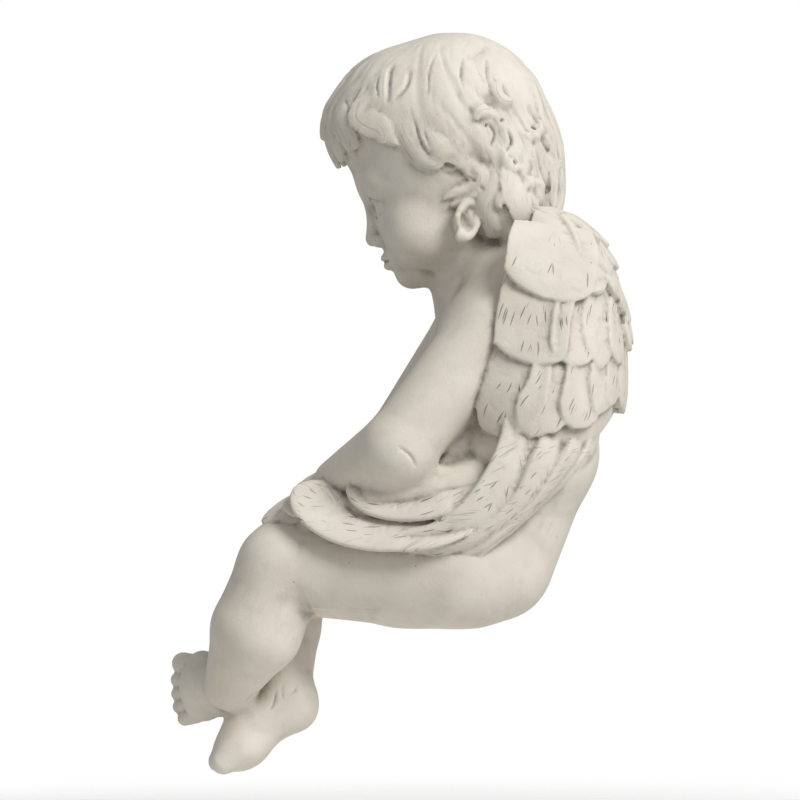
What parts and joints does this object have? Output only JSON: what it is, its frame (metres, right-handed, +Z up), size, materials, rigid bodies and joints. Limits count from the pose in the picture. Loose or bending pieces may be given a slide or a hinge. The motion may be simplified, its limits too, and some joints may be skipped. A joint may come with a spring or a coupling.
{
  "type": "sitting angel statue",
  "caption": "Winged child figure in pale cast stone that sits on the edge of a shelf, ankles crossed and wings folded round the hips to the lap.",
  "frame": {"origin": "centre of the flat seat under the thighs, where the figure rests on its ledge", "axes": "+Z up, -Y the way the figure faces, +X the figure's left"},
  "size_m": [0.1567, 0.2536, 0.4008],
  "materials": {
    "cast_stone": "matt"
  },
  "bodies": {
    "root": {"angel_statue": "cast_stone"}
  },
  "joints": []
}
